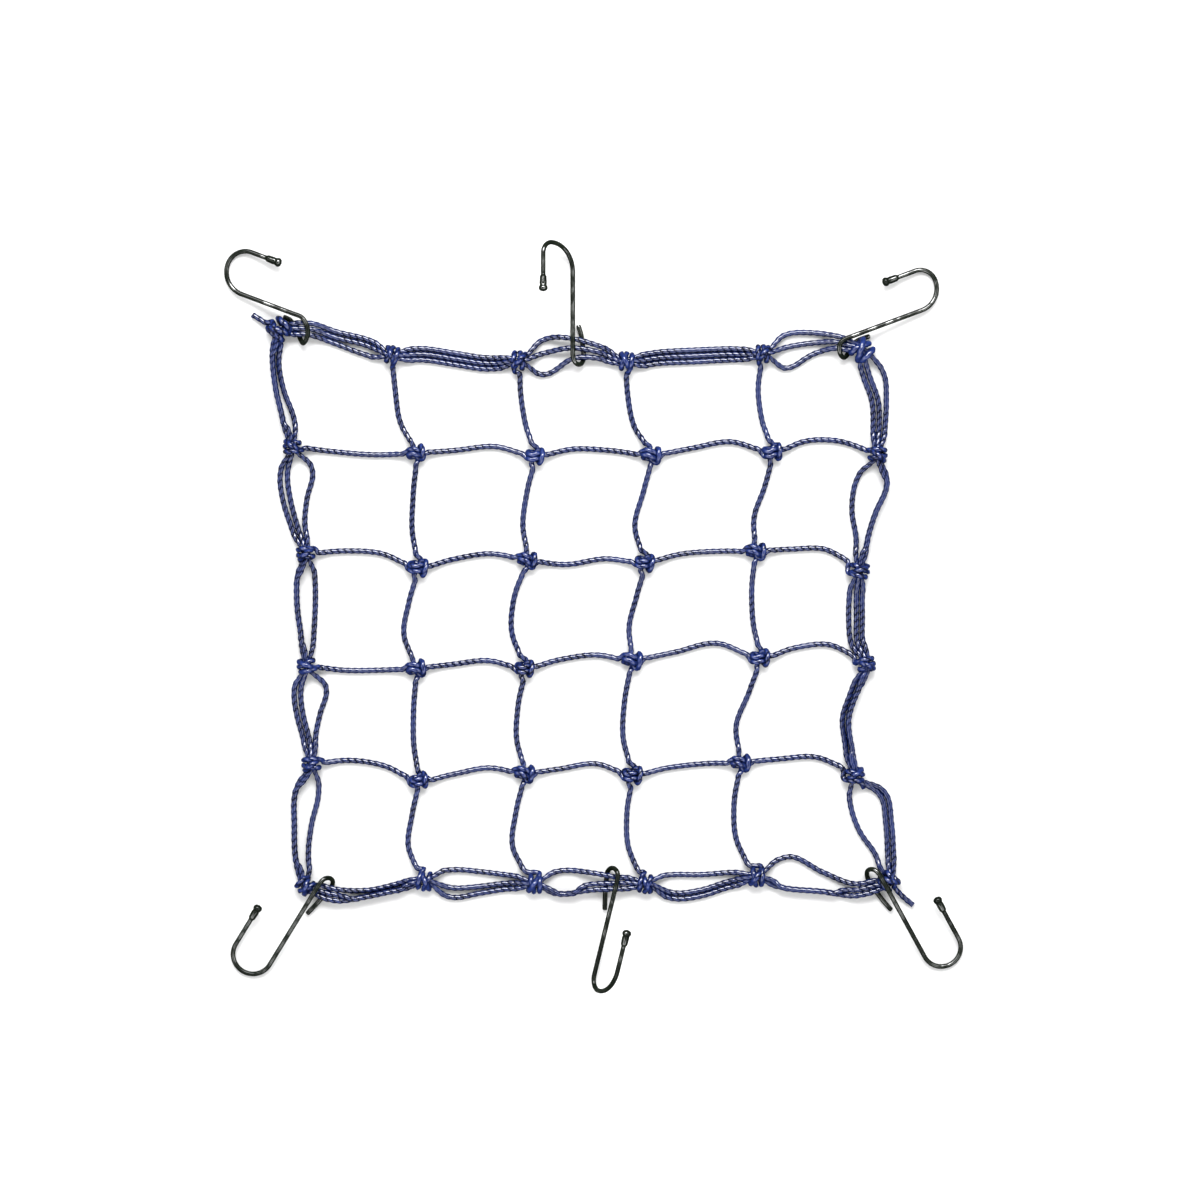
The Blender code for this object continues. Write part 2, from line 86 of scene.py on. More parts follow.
# Border: outward bows of the outer, middle and inner strand at 1/4, 1/2 and 3/4 of a span, and the
# stretch over which the middle strand rides on top of the outer one
borderSpans = {
    "top": (
        ((7.0, 5.7, 5.4), (4.0, 2.6, 2.3), (0.9, -0.5, -2.6), None),
        ((4.2, 2.5, 0.9), (1.2, -0.5, -2.1), (-1.8, -3.5, -5.1), None),
        ((11.7, 11.7, 7.9), (4.4, 6.8, 4.7), (-7.0, 1.2, 1.4), None),
        ((4.2, 4.2, 3.9), (1.2, 1.1, 0.9), (-1.8, -2.0, -2.1), None),
        ((9.9, 10.3, 7.9), (3.2, 4.8, 4.7), (-7.7, -1.3, 1.5), None),
    ),
    "bottom": (
        ((8.6, 7.2, 4.6), (5.6, 4.2, 1.6), (2.5, 4.0, 1.4), (0.27, 0.92)),
        ((8.5, 6.0, 3.4), (3.5, 2.4, 0.3), (-6.0, -5.4, -4.0), None),
        ((5.5, 3.4, 2.8), (2.5, 0.4, -0.2), (-6.7, -5.8, -3.4), (0.08, 0.48)),
        ((9.0, 8.3, 4.7), (5.9, 5.2, 1.6), (-3.7, -2.8, -3.0), None),
        ((5.8, 6.7, 8.4), (2.8, 3.7, 5.4), (-11.0, -3.4, 2.2), (0.08, 0.70)),
    ),
    "left": (
        ((5.3, 5.3, 3.6), (2.3, 2.3, 0.6), (2.1, 1.5, -2.2), (0.08, 0.92)),
        ((8.5, 8.5, 5.8), (4.6, 4.6, 2.6), (-8.7, -3.9, -1.2), None),
        ((4.9, 4.7, 2.9), (1.9, 1.7, -0.1), (-4.6, -4.5, -3.6), (0.08, 0.92)),
        ((7.4, 6.6, 3.8), (3.9, 3.3, 0.7), (-9.5, -5.5, -2.5), None),
        ((8.0, 7.6, 6.4), (5.0, 4.6, 3.4), (-4.2, -1.3, -0.4), (0.08, 0.92)),
    ),
    "right": (
        ((10.0, 9.2, 6.4), (2.4, 4.9, 3.2), (-0.9, 1.6, 0.0), None),
        ((7.4, 3.7, 1.8), (4.4, 0.7, -1.2), (-8.8, -8.6, -3.9), (0.08, 0.92)),
        ((0.9, 0.0, -0.6), (-2.2, -3.1, -3.7), (-5.9, -7.2, -7.0), None),
        ((-2.9, -6.0, -3.0), (-5.9, -9.0, -6.0), (-6.1, -9.2, -6.2), (0.08, 0.92)),
        ((12.7, 11.0, 7.4), (9.6, 7.9, 4.2), (-6.8, -6.5, -2.3), None),
    ),
}

# The eye's corner from the grid's middle in mm, the shank's heading in degrees, 1 where the tip is on the
# left of it, the reach to the far side of the bend, its radius, how much wider it is beside the shank, the
# tip's leg, the bend's roll out of the floor in degrees, and the form of the eye
hookShape = namedtuple("hookShape", "x y heading side reach bend lean tip roll eye")
hooks = {
    "hook_top_left": hookShape(-147.8, 155.4, 159.0, -1, 46.9, 11.2, 1.5, 15.5, 0.0, "wide"),
    "hook_top_middle": hookShape(-5.9, 138.3, 90.0, 1, 55.9, 10.3, 4.5, 16.0, 42.0, "short"),
    "hook_top_right": hookShape(135.4, 143.4, 20.7, 1, 57.2, 10.3, 2.0, 16.5, 0.0, "round"),
    "hook_bottom_left": hookShape(-139.0, -142.3, 238.2, -1, 60.0, 10.4, 0.0, 24.2, 0.0, "narrow"),
    "hook_bottom_middle": hookShape(17.3, -140.2, 256.5, 1, 58.0, 10.3, -3.0, 25.5, 58.0, "narrow"),
    "hook_bottom_right": hookShape(156.1, -139.1, 299.0, 1, 57.2, 10.1, 0.0, 25.0, 0.0, "open"),
}
# Wire round the strands, from the cut stub to the shank: along the shank's heading, away from the tip,
# and height
eyes = {
    "narrow": (
        (16.5, 2.6, 1.25), (9.0, 4.2, 1.25), (1.5, 5.4, 1.25), (-2.8, 5.9, 1.4), (-5.4, 4.9, 3.2),
        (-6.0, 2.9, 5.8), (-4.7, 1.0, 7.9), (-2.0, 0.1, 8.6), (2.5, 0.0, 8.6), (9.0, 0.0, 8.4),
    ),
    "short": (
        (13.0, 2.9, 1.25), (8.0, 4.4, 1.25), (1.0, 5.4, 1.25), (-4.0, 5.7, 1.4), (-7.0, 4.6, 3.0),
        (-7.6, 2.8, 5.0), (-6.2, 1.0, 6.7), (-3.0, 0.1, 7.2), (2.0, 0.0, 7.2), (9.0, 0.0, 7.2),
    ),
    "open": (
        (17.2, 3.4, 1.25), (11.8, 4.6, 1.25), (6.0, 5.5, 1.25), (0.0, 6.0, 1.25), (-4.0, 6.0, 1.4),
        (-6.8, 4.7, 3.2), (-7.3, 2.8, 5.8), (-6.0, 1.0, 7.9), (-3.0, 0.1, 8.6), (2.0, 0.0, 8.6),
        (9.0, 0.0, 8.4),
    ),
    "round": (
        (14.5, 3.0, 1.25), (9.5, 2.8, 1.25), (6.0, 3.4, 1.25), (2.9, 5.3, 1.25), (0.2, 7.9, 1.45),
        (-2.0, 8.9, 3.2), (-3.3, 7.6, 5.6), (-3.5, 5.2, 7.2), (-2.6, 2.5, 7.2), (-0.4, 0.5, 7.2),
        (2.6, 0.0, 7.2), (6.0, 0.0, 7.2),
    ),
    "wide": (
        (9.5, 3.1, 1.25), (6.1, 3.4, 1.25), (3.1, 5.1, 1.25), (-0.4, 8.3, 1.25), (-3.2, 11.2, 1.7),
        (-5.2, 12.5, 4.2), (-6.2, 10.8, 6.8), (-5.9, 6.7, 7.2), (-3.8, 3.0, 7.2), (0.0, 0.2, 7.2),
        (5.0, 0.0, 7.2),
    ),
}
hookWire = {
    "radius": 1.25,
    "cutEnd": 0.86,          # share of the radius at the cut end, whose edge is rounded
    "cutEdge": 0.12,         # and of the first step, over which it grows to the full radius
    "eyeSteps": 3,           # between two points of an eye
    "shankSteps": 8,
    "bendSteps": 24,
    # sleeve and rounded end: distance from the tip's end and radius
    "cap": ((9.0, 1.25), (8.6, 1.3), (8.3, 1.65), (7.8, 1.8), (5.0, 1.95), (4.2, 1.95), (3.7, 1.8),
            (3.3, 1.85), (2.8, 2.15), (2.1, 2.4), (1.3, 2.3), (0.7, 1.9), (0.25, 1.2), (0.05, 0.4)),
}


def spline(points, place):
    last = len(points) - 1
    index = min(max(int(place), 0), last - 1)
    t = place - index
    before, start = points[max(index - 1, 0)], points[index]
    end, after = points[index + 1], points[min(index + 2, last)]
    return (start * 2 + (end - before) * t + (before * 2 - start * 5 + end * 4 - after) * t ** 2
            + (start * 3 - before - end * 3 + after) * t ** 3) / 2


def fade(distance, full, none):        # 1 as far as full, 0 from none on
    share = min(max((none - distance) / (none - full), 0), 1)
    return share * share * (3 - 2 * share)


def knotPlace(row, column):
    right, up = knotDrift[row][column]
    return Vector((net["middle"][0] + (column - lastLine / 2) * net["columnPitch"] + right,
                   net["middle"][1] + (lastLine / 2 - row) * net["rowPitch"] + up))


def squareTo(start, end, outward):     # unit vector square to start-end, towards outward
    along = (end - start).normalized()
    normal = Vector((-along.y, along.x))
    return normal if normal.dot(outward) > 0 else -normal


def hookFrame(name):
    hook = hooks[name]
    corner = Vector(net["middle"]) + Vector((hook.x, hook.y))
    along = Vector((math.cos(math.radians(hook.heading)), math.sin(math.radians(hook.heading))))
    aside = Vector((along.y, -along.x)) * hook.side

    def place(forward, sideways, height):
        flat = corner + along * forward + aside * sideways
        return Vector((flat.x, flat.y, height))
    return place


def eyeMiddle(name):           # of the wire that lies under the strands
    under = [point for point in eyes[hooks[name].eye] if point[2] < 2]
    return sum((hookFrame(name)(*point).xy for point in under), Vector((0, 0))) / len(under)


eyeMiddles = [eyeMiddle(name) for name in hooks]


def cordHeight(flat, knots):
    toKnot = min((flat - knot).length for knot in knots)
    toEye = min((flat - eye).length for eye in eyeMiddles)
    return net["cordRadius"] + max(net["knotRise"] * fade(toKnot, net["knotLevel"], net["knotSlopeEnd"]),
                                   net["eyeLift"] * fade(toEye, net["eyeLevel"], net["eyeSlopeEnd"]))


def strandRoute(knots, bows, port, outward):       # function from a place along the knots to a point
    points = []
    for index, knot in enumerate(knots):
        before, after = knots[max(index - 1, 0)], knots[min(index + 1, len(knots) - 1)]
        points.append(knot + squareTo(before, after, outward) * port)
        if index == len(knots) - 1:
            break
        for step, bow in enumerate(bows[index], 1):
            share = step / (len(bows[index]) + 1)
            points.append(knot.lerp(after, share) + squareTo(knot, after, outward) * bow)
    stations = len(bows[0]) + 1

    def route(place):
        flat = spline(points, place * stations)
        return Vector((flat.x, flat.y, cordHeight(flat, knots)))
    return route


cord = {
    "knotRadius": 1.35,
    "strandInKnot": 1.1,     # border strands thin where a knot pulls them
    "plainEnd": 9.5,         # a knot takes over from the plain cord this far from its middle
    "endApproach": 8.0,      # and at a border knot
    "approach": 6.6,         # of the plain points beside a knot's turns
    "easeIn": 1.04,          # the one before the turns is this many times as far from them
    "step": 5.0,
}
variety = {                  # of the knots, seeded
    "innerTurn": 10,         # degrees either way
    "innerSize": (0.86, 0.97),
    "borderTurn": 9,
    "borderSize": (0.98, 1.1),
}


def knotMap(middle, along, outward, size=1.0):     # (right, up, height) in a knot to a place
    across = Vector((-along.y, along.x))
    if across.dot(outward) < 0:
        across = -across

    def place(right, up, height):
        flat = middle + (along * right + across * up) * size
        return Vector((flat.x, flat.y, height))
    return place


# Turns of the two cords in an inner knot; (right, up, height) in mm from its middle
rowTurns = (
    (-4.7, 1.7, 3.5), (-2.6, 2.5, 5.1), (0.2, 2.1, 5.6), (2.5, 1.1, 4.4), (3.0, -0.2, 2.4), (1.2, -1.5, 1.35),
    (-1.8, -2.2, 1.5), (-4.1, -1.8, 3.0), (-3.9, -0.5, 4.9), (-1.6, -0.3, 5.9), (1.0, -1.3, 5.6),
    (3.0, -1.9, 4.2), (4.9, -1.4, 3.3),
)
columnTurns = (
    (-1.1, 4.9, 2.7), (-0.8, 2.6, 2.9), (0.0, 0.2, 3.2), (0.8, -2.2, 3.0), (2.3, -3.9, 2.9), (4.1, -4.0, 4.0),
    (4.7, -2.1, 5.4), (4.6, 0.5, 5.9), (4.4, 2.9, 5.0), (3.6, 4.1, 3.3), (2.6, 2.5, 1.6),
    (1.4, -0.4, 1.35), (0.9, -3.0, 1.5), (0.8, -4.9, 2.4),
)
# A mesh cord's end, hitched round the three border strands: (along the border, outwards, height)
endTurns = (
    (-1.4, -5.6, 3.6), (-2.3, -3.4, 5.6), (-2.7, -0.6, 7.2), (-2.9, 2.2, 6.2), (-2.8, 3.6, 4.0),
    (-2.5, 2.2, 1.9), (-2.2, -0.6, 1.45), (-2.1, -2.8, 2.2), (-1.8, -3.9, 4.4), (-1.0, -2.2, 7.4),
    (0.3, 0.2, 8.9), (1.6, 2.4, 7.3), (2.5, 3.7, 4.2), (2.6, 2.2, 1.9), (2.3, -0.6, 1.45),
    (2.1, -2.8, 2.2), (2.0, -3.7, 4.4), (1.8, -1.8, 6.6), (1.0, 0.6, 6.4), (0.2, 2.8, 5.4), (-0.2, 4.2, 3.4),
)


def meshCord(knots, bows, outward, shape, ends):
    route = strandRoute(knots, bows, 0, outward)
    last = len(knots) - 2
    points = [(ends[0](*turn), cord["knotRadius"]) for turn in endTurns[::-1]]
    for index in range(last + 1):
        length = (knots[index + 1] - knots[index]).length
        first = cord["endApproach" if index == 0 else "plainEnd"] / length
        end = 1 - cord["endApproach" if index == last else "plainEnd"] / length
        count = max(int(length * (end - first) / cord["step"]), net["fewestSteps"])
        for step in range(count + 1):
            points.append((route(index + first + (end - first) * step / count), net["cordRadius"]))
        if index == last:
            break
        # from the plain cord into the knot, through its turns, and out again
        turns = innerKnot(knots[index + 1], shape)
        before = route(index + 1 - cord["approach"] / length)
        points.append((turns[0].lerp(before, cord["easeIn"]), net["cordRadius"]))
        points += [(turn, cord["knotRadius"]) for turn in turns]
        following = (knots[index + 2] - knots[index + 1]).length
        after = route(index + 1 + cord["approach"] / following)
        points.append((after, net["cordRadius"]))
    return points + [(ends[1](*turn), cord["knotRadius"]) for turn in endTurns]


def innerKnot(middle, shape):          # turns of one of a knot's two cords, mirrored in every other knot
    seeded = random.Random(round(middle.x * 10) * 1000 + round(middle.y * 10))
    angle = math.radians(seeded.uniform(-variety["innerTurn"], variety["innerTurn"]))
    size = seeded.uniform(*variety["innerSize"])
    column = round((middle.x - net["middle"][0]) / net["columnPitch"] + lastLine / 2)
    row = round(lastLine / 2 - (middle.y - net["middle"][1]) / net["rowPitch"])
    if (row + column) % 2:
        shape = [(right, -up, height) for right, up, height in shape]
        if abs(shape[0][1]) > abs(shape[0][0]):      # a cord that runs down the net
            shape.reverse()
    place = knotMap(middle, Vector((math.cos(angle), math.sin(angle))), Vector((0, 1)), size)
    return [place(*turn) for turn in shape]


def borderKnot(row, column, outward):
    if outward.y:
        before, after = (row, max(column - 1, 0)), (row, min(column + 1, lastLine))
    else:
        before, after = (max(row - 1, 0), column), (min(row + 1, lastLine), column)
    along = (knotPlace(*after) - knotPlace(*before)).normalized()
    if (row + column) % 2:
        along = -along
    seeded = random.Random(row * 31 + column * 7)
    angle = math.radians(seeded.uniform(-variety["borderTurn"], variety["borderTurn"]))
    along.rotate(Matrix.Rotation(angle, 2))
    return knotMap(knotPlace(row, column), along, outward, seeded.uniform(*variety["borderSize"]))


def allMeshCords():
    left, right, up, down = Vector((-1, 0)), Vector((1, 0)), Vector((0, 1)), Vector((0, -1))
    routes = []
    for row, bows in enumerate(rowBows, 1):
        knots = [knotPlace(row, column) for column in range(net["lines"])]
        ends = (borderKnot(row, 0, left), borderKnot(row, lastLine, right))
        routes.append(meshCord(knots, bows, up, rowTurns, ends))
    for column, bows in enumerate(columnBows, 1):
        knots = [knotPlace(row, column) for row in range(net["lines"])]
        ends = (borderKnot(0, column, up), borderKnot(lastLine, column, down))
        routes.append(meshCord(knots, bows, right, columnTurns, ends))
    return routes


border = {
    "squeezed": 1.3,         # between strands in a knot
    "cornerSqueeze": 0.8,    # share of that at a corner
    "knotHeights": (3.4, 4.9, 3.4),    # outer, middle and inner strand
    "knotSteps": (-2.6, 0.0, 2.6),     # points of a strand in a knot
    "tieSpan": 9.0,          # a knot pulls the strands together this far from its middle
    "rideSlope": 0.12,       # share of a span over which the middle strand climbs
    "step": 3.75,
}


def sideOf(name):            # its knots and its outward direction
    lines = range(net["lines"])
    cells, outward = {
        "top": ([(0, column) for column in lines], (0, 1)),
        "right": ([(row, lastLine) for row in lines], (1, 0)),
        "bottom": ([(lastLine, column) for column in lines], (0, -1)),
        "left": ([(row, 0) for row in lines], (-1, 0)),
    }[name]
    return [knotPlace(*cell) for cell in cells], Vector(outward)


def ridingRoute(outer, beside, spans):     # climbs from beside the outer strand onto it
    def route(place):
        under, flat = outer(place), beside(place)
        span = min(max(int(place), 0), len(spans) - 1)
        if spans[span][3] is None:
            return flat
        start, end = spans[span][3]
        middle, half = (start + end) / 2, (end - start) / 2
        turn = math.pi / 2 * fade(abs(place - span - middle), half - border["rideSlope"], half)
        if not turn:
            return flat
        step = (flat - under).xy.to_3d()
        return (under + step * math.cos(turn)
                + Vector((0, 0, 1)) * step.length * math.sin(turn))
    return route


def borderSide(name, strand):          # points of one strand along a side, without the corners
    knots, outward = sideOf(name)
    spans = borderSpans[name]
    outer = strandRoute(knots, [span[0] for span in spans], net["strandStep"], outward)
    beside = strandRoute(knots, [span[1] for span in spans], 0, outward)
    inner = strandRoute(knots, [span[2] for span in spans], -net["strandStep"], outward)
    route = (outer, ridingRoute(outer, beside, spans), inner)[strand]
    points = []
    for index in range(len(knots) - 1):
        length = (knots[index + 1] - knots[index]).length
        if index:
            before, after = knots[index - 1], knots[index + 1]
            across = squareTo(before, after, outward)
            along = (after - before).normalized()
            for step in border["knotSteps"]:
                flat = knots[index] + along * step + across * border["squeezed"] * (1 - strand)
                points.append((Vector((*flat, border["knotHeights"][strand])), cord["strandInKnot"]))
        first, last = border["tieSpan"] / length, 1 - border["tieSpan"] / length
        count = max(int(length * (last - first) / border["step"]), net["fewestSteps"])
        for step in range(count + 1):
            share = first + (last - first) * step / count
            points.append((route(index + share), net["cordRadius"]))
    return points


def outOfCorner(row, column):
    return Vector((1 if column else -1, -1 if row else 1))


def cornerPoints(row, column, strand):
    out = outOfCorner(row, column) * border["squeezed"] * border["cornerSqueeze"]
    flat = knotPlace(row, column) + out * (1 - strand)
    return [(Vector((*flat, border["knotHeights"][strand])), cord["strandInKnot"])]


def borderStrand(strand):      # once round the net
    points = cornerPoints(0, 0, strand) + borderSide("top", strand)
    points += cornerPoints(0, lastLine, strand) + borderSide("right", strand)
    points += cornerPoints(lastLine, lastLine, strand) + borderSide("bottom", strand)[::-1]
    points += cornerPoints(lastLine, 0, strand) + borderSide("left", strand)[::-1]
    return points + cornerPoints(0, 0, strand)


# A strand's end, tied round a corner and left as a cut tail: (along the strands, outwards, height)
cornerTurns = (
    (-1.0, -1.0, 4.2), (-3.2, -3.2, 5.0), (-3.6, -0.8, 6.9), (-3.6, 2.0, 6.3), (-3.4, 3.8, 4.2),
    (-3.0, 2.6, 1.9), (-2.4, -0.4, 1.45), (-2.2, -2.8, 2.2), (-1.9, -4.2, 4.6), (-0.9, -2.4, 7.6),
    (0.5, 0.2, 9.0), (1.9, 2.6, 7.4), (2.9, 3.9, 4.2), (3.0, 2.2, 1.9), (2.7, -0.6, 1.45),
    (2.4, -3.0, 2.2), (2.2, -4.0, 4.6), (2.2, -1.8, 6.8), (1.4, 0.8, 6.5), (0.4, 3.0, 5.6), (-0.4, 4.6, 3.8),
)
cornerSizes = {(0, 0): 1.2, (0, 5): 1.2, (5, 0): 0.95, (5, 5): 1.05}
# Cut ends that show, by the row and column of their knot: (right, up, height) from it
tails = {
    (0, 0): ((-7.0, 4.0, 2.6), (-10.5, 6.0, 1.9), (-14.2, 8.2, 1.45)),
    (5, 5): ((6.5, -7.5, 2.4), (9.5, -10.2, 1.7), (12.9, -12.9, 1.45)),
}
shortEnds = {
    (4, 5): ((1.0, -1.0, 4.6), (2.6, -3.4, 3.9), (3.9, -5.4, 2.9), (5.0, -7.0, 1.9)),
}


def tailPoints(cell, points, radius):
    knot = knotPlace(*cell)
    return [(Vector((knot.x + right, knot.y + up, height)), radius) for right, up, height in points]


def cornerTies():              # and the short cut ends
    routes = []
    for cell, size in cornerSizes.items():
        out = outOfCorner(*cell).normalized()
        place = knotMap(knotPlace(*cell), Vector((-out.y, out.x)), out, size)
        points = [(place(*turn), cord["knotRadius"] * size) for turn in cornerTurns]
        routes.append(points + tailPoints(cell, tails.get(cell, ()), net["cordRadius"]))
    return routes + [tailPoints(cell, points, cord["strandInKnot"]) for cell, points in shortEnds.items()]


def hookRoute(name):
    hook, wire = hooks[name], hookWire["radius"]
    eye = [Vector(point) for point in eyes[hook.eye]]
    steps = hookWire["eyeSteps"]
    local = [(spline(eye, step / steps), wire) for step in range((len(eye) - 1) * steps + 1)]
    for point, size in local:
        point.z = max(point.z, wire)
    local[0] = (local[0][0], wire * hookWire["cutEnd"])
    local.insert(1, (local[0][0].lerp(local[1][0], hookWire["cutEdge"]), wire))

    start, steps = eye[-1].x, hookWire["shankSteps"]
    bendStart = hook.reach - hook.bend - hook.lean
    shape = [(start + (bendStart - start) * step / steps, 0.0, wire) for step in range(1, steps)]
    steps = hookWire["bendSteps"]
    for step in range(steps + 1):
        turn = math.pi * step / steps
        here = hook.bend + hook.lean if step < steps / 2 else hook.bend - hook.lean
        shape.append((hook.reach - here + here * math.sin(turn),
                      hook.bend + hook.lean - here * math.cos(turn), wire))
    end = hook.reach - hook.bend - hook.tip
    legStart, capStart = hook.reach - hook.bend + hook.lean, end + hookWire["cap"][0][0]
    shape += [(legStart + (capStart - legStart) * step / 3, 2 * hook.bend, wire) for step in (1, 2)]
    shape += [(end + back, 2 * hook.bend, size) for back, size in hookWire["cap"]]

    # the shank comes down from the eye to the floor, and the bend rolls round it
    slope, roll = (eye[-1].z - wire) / (hook.reach - start), math.radians(hook.roll)
    for forward, sideways, size in shape:
        height = wire + slope * (hook.reach - forward) + sideways * math.sin(roll)
        local.append((Vector((forward, -sideways * math.cos(roll), height)), size))
    place = hookFrame(name)
    return [(place(*point), size) for point, size in local]


def setOrLink(tree, value, socket):
    if isinstance(value, bpy.types.NodeSocket):
        tree.links.new(value, socket)
    else:
        socket.default_value = value


def addSockets(tree, given, made):
    for label, kind, value in given:
        socket = tree.interface.new_socket(label, in_out="INPUT", socket_type=kind)
        if value is not None:
            socket.default_value = value
    for label, kind in made:
        tree.interface.new_socket(label, in_out="OUTPUT", socket_type=kind)


def addNode(tree, kind, inputs=(), **settings):      # inputs: a value or an output by socket
    node = tree.nodes.new(kind)
    for key, value in settings.items():
        setattr(node, key, value)
    for socket, value in dict(inputs).items():
        setOrLink(tree, value, node.inputs[socket])
    return node


def calculate(tree, operation, *values):
    return addNode(tree, "ShaderNodeMath", enumerate(values), operation=operation).outputs[0]


def mapRange(tree, value, start, end, low=0.0, high=1.0):      # clamped to low and high
    return addNode(tree, "ShaderNodeMapRange", {
        "Value": value, "From Min": start, "From Max": end, "To Min": low, "To Max": high,
    }).outputs["Result"]


def mixColour(tree, mask, first, second):
    return addNode(tree, "ShaderNodeMix", {"Factor": mask, "A": first, "B": second},
                   data_type="RGBA").outputs["Result"]


def noise(tree, scale, detail=2.0):
    place = addNode(tree, "ShaderNodeTexCoord").outputs["Object"]
    return addNode(tree, "ShaderNodeTexNoise", {
        "Vector": place, "Scale": scale, "Detail": detail,
    }).outputs["Fac"]


def capture(tree, geometry, label, field):      # keeps a curve's field on the mesh that is swept from it
    node = tree.nodes.new("GeometryNodeCaptureAttribute")
    node.capture_items.new("FLOAT", label)
    tree.links.new(geometry, node.inputs[0])
    tree.links.new(field, node.inputs[label])
    return node.outputs[0], node.outputs[label]


def makeTubeTree():
    # Sweeps a ring along each route and lifts its surface into plies that wind round it
    tree = bpy.data.node_groups.new("tubeAlongRoute", "GeometryNodeTree")
    addSockets(tree, (
        ("Route", "NodeSocketGeometry", None),
        ("Step", "NodeSocketFloat", 0.0007),
        ("Sides", "NodeSocketInt", 12),
        ("Relief", "NodeSocketFloat", 0.0),
        ("Lay length", "NodeSocketFloat", 0.0072),
        ("Plies", "NodeSocketFloat", 2.0),
        ("Material", "NodeSocketMaterial", None),
    ), (("Tube", "NodeSocketGeometry"),))
    calc = partial(calculate, tree)
    given = tree.nodes.new("NodeGroupInput").outputs
    station = tree.nodes.new("GeometryNodeSplineParameter").outputs

    curve = addNode(tree, "GeometryNodeMeshToCurve", {0: given["Route"]}).outputs[0]
    curve = addNode(tree, "GeometryNodeCurveSplineType", {0: curve}, spline_type="CATMULL_ROM").outputs[0]
    curve = addNode(tree, "GeometryNodeSetSplineResolution", {0: curve, "Resolution": 8}).outputs[0]
    curve = addNode(tree, "GeometryNodeResampleCurve", {"Curve": curve, "Length": given["Step"]},
                    mode="LENGTH").outputs[0]
    curve, along = capture(tree, curve, "along", station["Length"])
    ring = addNode(tree, "GeometryNodeCurvePrimitiveCircle", {"Radius": 1.0, "Resolution": given["Sides"]})
    ring, around = capture(tree, ring.outputs["Curve"], "around", station["Factor"])
    thick = addNode(tree, "GeometryNodeInputNamedAttribute", {"Name": "thick"}, data_type="FLOAT")
    tube = addNode(tree, "GeometryNodeCurveToMesh", {
        "Curve": curve, "Profile Curve": ring, "Scale": thick.outputs["Attribute"], "Fill Caps": True,
    }).outputs[0]

    angle = calc("MULTIPLY", around, math.tau)
    turned = calc("MULTIPLY", calc("DIVIDE", along, given["Lay length"]), math.tau)
    wave = calc("COSINE", calc("SUBTRACT", calc("MULTIPLY", angle, given["Plies"]), turned))
    lift = calc("MULTIPLY", wave, given["Relief"])
    normal = tree.nodes.new("GeometryNodeInputNormal").outputs[0]
    offset = addNode(tree, "ShaderNodeVectorMath", {0: normal, "Scale": lift}, operation="SCALE").outputs[0]
    tube = addNode(tree, "GeometryNodeSetPosition", {"Geometry": tube, "Offset": offset}).outputs[0]

    place = addNode(tree, "ShaderNodeCombineXYZ", {
        "X": calc("COSINE", angle), "Y": calc("SINE", angle), "Z": along,
    }).outputs[0]
    tube = addNode(tree, "GeometryNodeStoreNamedAttribute", {
        "Geometry": tube, "Name": "cordPlace", "Value": place,
    }, data_type="FLOAT_VECTOR", domain="POINT").outputs[0]
    tube = addNode(tree, "GeometryNodeSetShadeSmooth", {0: tube}).outputs[0]
    tube = addNode(tree, "GeometryNodeSetMaterial", {"Geometry": tube, "Material": given["Material"]})
    tube = addNode(tree, "GeometryNodeRealizeInstances", {0: tube.outputs[0]}).outputs[0]
    addNode(tree, "NodeGroupOutput", {"Tube": tube})
    return tree


tubeTree = makeTubeTree()
floorGap = 0.1               # in mm, under the points of a route; the relief of the plies takes it up


def tubes(name, routes, material, values):
    vertices, edges, sizes = [], [], []
    for points in routes:
        first = len(vertices)
        vertices += [Vector((point.x, point.y, max(point.z, size + floorGap))) * mm for point, size in points]
        sizes += [size * mm for point, size in points]
        edges += [(index, index + 1) for index in range(first, len(vertices) - 1)]
    # a cord has its plain radius only outside its knots
    knotted = [0.0 if math.isclose(size, net["cordRadius"] * mm) else 1.0 for size in sizes]
    lines = bpy.data.meshes.new(name + "Route")
    lines.from_pydata(vertices, edges, [])
    for label, numbers in (("thick", sizes), ("knotted", knotted)):
        lines.attributes.new(label, "FLOAT", "POINT").data.foreach_set("value", numbers)
    item = bpy.data.objects.new(name, lines)
    bpy.context.scene.collection.objects.link(item)
    modifier = item.modifiers.new("tube", "NODES")
    modifier.node_group = tubeTree
    identifiers = {socket.name: socket.identifier for socket in tubeTree.interface.items_tree
                   if socket.item_type == "SOCKET" and socket.in_out == "INPUT"}
    for label, value in {**values, "Material": material}.items():
        modifier[identifiers[label]] = value
    shape = bpy.data.meshes.new_from_object(item.evaluated_get(bpy.context.evaluated_depsgraph_get()))
    item.modifiers.remove(modifier)
    item.data = shape
    shape.name = name
    print("stage:", name, "has", len(shape.polygons), "faces")
    return item


braid = {
    "core": 0.65,                  # share of the relief that comes from the twisted core
    "sleeve": 0.35,                # and from the braided sleeve on it
    "coreRoundness": 0.9,
    "unevenScale": 110,
    "unevenness": 0.7,
    "calmScale": 38,               # stretches where the core hardly shows
    "calmFrom": 0.48,
    "calmTo": 0.6,
    # what is added there: height times the first, plus the second
    "calmColour": (-0.75, 0.58),
    "calmRelief": (-0.7, 0.45),
    # painted shade in the ply valleys and painted highlight on their crests, by the noisy height
    "valleyToBody": (0.25, 0.6),
    "bodyToCrest": (0.6, 1.0),
    # painted side shade fades out over this range
    "sideToTop": (0.2, 0.88),      # upward part of the surface's normal
    "roughness": (-0.25, 0.55),    # height times the first, plus the second
}


